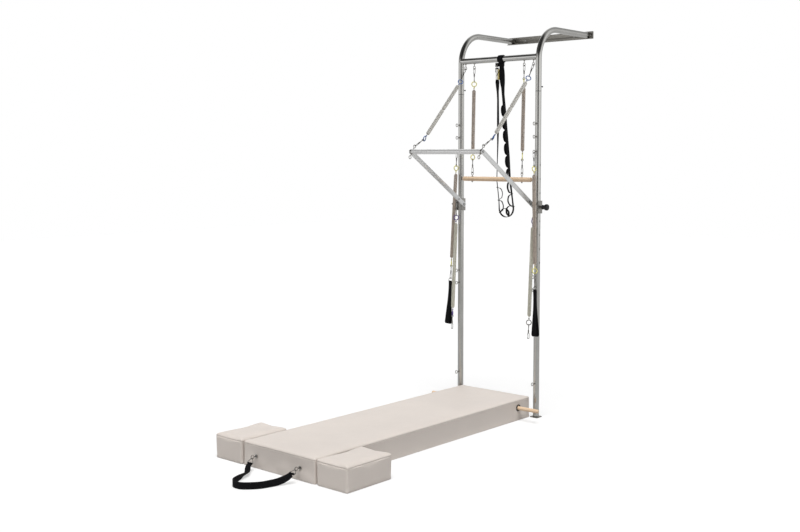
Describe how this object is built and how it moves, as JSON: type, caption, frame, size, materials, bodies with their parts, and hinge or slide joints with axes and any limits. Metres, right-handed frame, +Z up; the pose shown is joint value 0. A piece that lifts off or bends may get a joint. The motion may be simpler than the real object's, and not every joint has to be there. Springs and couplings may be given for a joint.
{
  "type": "pilates tower unit",
  "caption": "Wall-braced tube tower with push-through bar, wooden roll-down bar, hanging springs, hand loops, safety strap, floor mat, side blocks and foot strap.",
  "frame": {"origin": "centre of the bounding box on the floor", "axes": "+Z up, +Y from the mat's foot end towards the wall, +X to the right when facing the wall"},
  "size_m": [1.018, 2.7492, 2.486],
  "materials": {
    "tube_steel": "polished stainless tube",
    "plate_steel": "satin stainless plate",
    "hook_steel": "nickel plated hooks, rings and bolts",
    "spring_steel": "close-wound nickel plated spring wire with coloured end rings",
    "bar_aluminium": "satin",
    "knob_plastic": "black",
    "bar_wood": "clear varnish",
    "webbing": "black woven webbing",
    "vinyl": "warm grey-beige upholstery vinyl"
  },
  "bodies": {
    "tower": {"upright_left": "tube_steel", "upright_right": "tube_steel", "gooseneck_left": "tube_steel", "gooseneck_right": "tube_steel", "crossbar": "tube_steel", "wall_bracket": "plate_steel", "foot_plate_left": "plate_steel", "foot_plate_right": "plate_steel", "push_snap_upper_left": "hook_steel", "push_snap_upper_right": "hook_steel", "push_spring_left": "spring_steel", "push_spring_right": "spring_steel"},
    "slide_brackets": {"slide_bracket_left": "plate_steel", "slide_bracket_right": "plate_steel", "pivot_bolt_left": "hook_steel", "pivot_bolt_right": "hook_steel"},
    "plunger_left": {"plunger_left": "hook_steel"},
    "plunger_right": {"plunger_right": "knob_plastic"},
    "push_frame": {"push_bar": "bar_aluminium", "push_arm_left": "bar_aluminium", "push_arm_right": "bar_aluminium", "push_snap_lower_left": "hook_steel", "push_snap_lower_right": "hook_steel"},
    "roll_springs": {"roll_snap_upper_left": "hook_steel", "roll_snap_upper_right": "hook_steel", "roll_spring_left": "spring_steel", "roll_spring_right": "spring_steel"},
    "roll_bar": {"roll_down_bar": "bar_wood", "roll_eye_left": "hook_steel", "roll_eye_right": "hook_steel", "roll_snap_lower_left": "hook_steel", "roll_snap_lower_right": "hook_steel"},
    "arm_spring_set_left": {"arm_snap_upper_left": "hook_steel", "arm_spring_left": "spring_steel"},
    "arm_spring_set_right": {"arm_snap_upper_right": "hook_steel", "arm_spring_right": "spring_steel"},
    "hand_set_left": {"arm_snap_lower_left": "hook_steel", "hand_ring_left": "hook_steel", "hand_loop_left": "webbing"},
    "hand_set_right": {"arm_snap_lower_right": "hook_steel", "hand_ring_right": "hook_steel", "hand_loop_right": "webbing"},
    "leg_spring_set_left": {"leg_snap_upper_left": "hook_steel", "leg_spring_left": "spring_steel"},
    "leg_spring_set_right": {"leg_snap_upper_right": "hook_steel", "leg_spring_right": "spring_steel"},
    "leg_snap_left": {"leg_snap_lower_left": "hook_steel"},
    "leg_snap_right": {"leg_snap_lower_right": "hook_steel"},
    "safety_strap": {"safety_strap": "webbing", "safety_strap_link": "hook_steel"},
    "mat": {"mat_centre": "vinyl", "foot_eye_left": "hook_steel", "foot_eye_right": "hook_steel"},
    "mat_bar": {"mat_bar": "bar_wood"},
    "foot_strap": {"foot_strap": "webbing", "foot_ring_left": "hook_steel", "foot_ring_right": "hook_steel"},
    "block_left": {"mat_block_left": "vinyl"},
    "block_right": {"mat_block_right": "vinyl"}
  },
  "joints": [
    {"name": "bracket_height", "type": "slide", "parent": "tower", "child": "slide_brackets", "axis": [0, 0, 1], "range_m": [-0.352, 0.264], "deforming": ["push_spring_left", "push_spring_right"]},
    {"name": "push_bar_swing", "type": "hinge", "parent": "slide_brackets", "child": "push_frame", "pos_m": [0, 0.801, 1.34], "axis": [-1, 0, 0], "range_deg": [-60, 20], "stiffness_Nm_per_rad": 40, "springref_deg": 8.59, "deforming": ["push_spring_left", "push_spring_right"]},
    {"name": "plunger_pull_left", "type": "slide", "parent": "slide_brackets", "child": "plunger_left", "axis": [-1, 0, 0], "range_m": [0, 0.01], "stiffness_N_per_m": 1500, "springref_m": -0.004},
    {"name": "plunger_pull_right", "type": "slide", "parent": "slide_brackets", "child": "plunger_right", "axis": [1, 0, 0], "range_m": [0, 0.01], "stiffness_N_per_m": 1500, "springref_m": -0.004},
    {"name": "roll_down_swing", "type": "hinge", "parent": "tower", "child": "roll_springs", "pos_m": [0, 0.801, 2.236], "axis": [1, 0, 0], "range_deg": [-35, 0]},
    {"name": "roll_down_pull", "type": "slide", "parent": "roll_springs", "child": "roll_bar", "axis": [0, -0.0244, -0.9997], "range_m": [0, 0.4], "stiffness_N_per_m": 500, "springref_m": -0.05, "deforming": ["roll_spring_left", "roll_spring_right"]},
    {"name": "arm_spring_swing_left", "type": "hinge", "parent": "tower", "child": "arm_spring_set_left", "pos_m": [-0.31, 0.757, 1.687], "axis": [1, 0, 0], "range_deg": [-80, 0]},
    {"name": "arm_spring_pull_left", "type": "slide", "parent": "arm_spring_set_left", "child": "hand_set_left", "axis": [-0.0612, 0, -0.9981], "range_m": [0, 0.4], "stiffness_N_per_m": 250, "springref_m": -0.05, "deforming": ["arm_spring_left"]},
    {"name": "arm_spring_swing_right", "type": "hinge", "parent": "tower", "child": "arm_spring_set_right", "pos_m": [0.31, 0.757, 1.687], "axis": [1, 0, 0], "range_deg": [-80, 0]},
    {"name": "arm_spring_pull_right", "type": "slide", "parent": "arm_spring_set_right", "child": "hand_set_right", "axis": [0.0612, -0.0609, -0.9963], "range_m": [0, 0.4], "stiffness_N_per_m": 250, "springref_m": -0.05, "deforming": ["arm_spring_right"]},
    {"name": "leg_spring_swing_left", "type": "hinge", "parent": "tower", "child": "leg_spring_set_left", "pos_m": [-0.31, 0.757, 1.36], "axis": [1, 0, 0], "range_deg": [-80, 0]},
    {"name": "leg_spring_pull_left", "type": "slide", "parent": "leg_spring_set_left", "child": "leg_snap_left", "axis": [0, -0.0558, -0.9984], "range_m": [0, 0.35], "stiffness_N_per_m": 400, "springref_m": -0.05, "deforming": ["leg_spring_left"]},
    {"name": "leg_spring_swing_right", "type": "hinge", "parent": "tower", "child": "leg_spring_set_right", "pos_m": [0.31, 0.757, 1.36], "axis": [1, 0, 0], "range_deg": [-80, 0]},
    {"name": "leg_spring_pull_right", "type": "slide", "parent": "leg_spring_set_right", "child": "leg_snap_right", "axis": [0, -0.0558, -0.9984], "range_m": [0, 0.35], "stiffness_N_per_m": 400, "springref_m": -0.05, "deforming": ["leg_spring_right"]},
    {"name": "safety_strap_swing", "type": "hinge", "parent": "tower", "child": "safety_strap", "pos_m": [0.031, 0.801, 2.28], "axis": [1, 0, 0], "range_deg": [0, 30]},
    {"name": "mat_slide", "type": "slide", "parent": "tower", "child": "mat", "axis": [0, -1, 0], "range_m": [0, 0.5]},
    {"name": "mat_bar_slide", "type": "slide", "parent": "mat", "child": "mat_bar", "axis": [1, 0, 0], "range_m": [-0.1, 0.15]},
    {"name": "foot_strap_swing", "type": "hinge", "parent": "mat", "child": "foot_strap", "pos_m": [0, -1.114, 0.068], "axis": [-1, 0, 0], "range_deg": [0, 80]},
    {"name": "block_slide_left", "type": "slide", "parent": "tower", "child": "block_left", "axis": [-1, 0, 0], "range_m": [0, 0.3]},
    {"name": "block_slide_right", "type": "slide", "parent": "tower", "child": "block_right", "axis": [1, 0, 0], "range_m": [0, 0.3]}
  ]
}
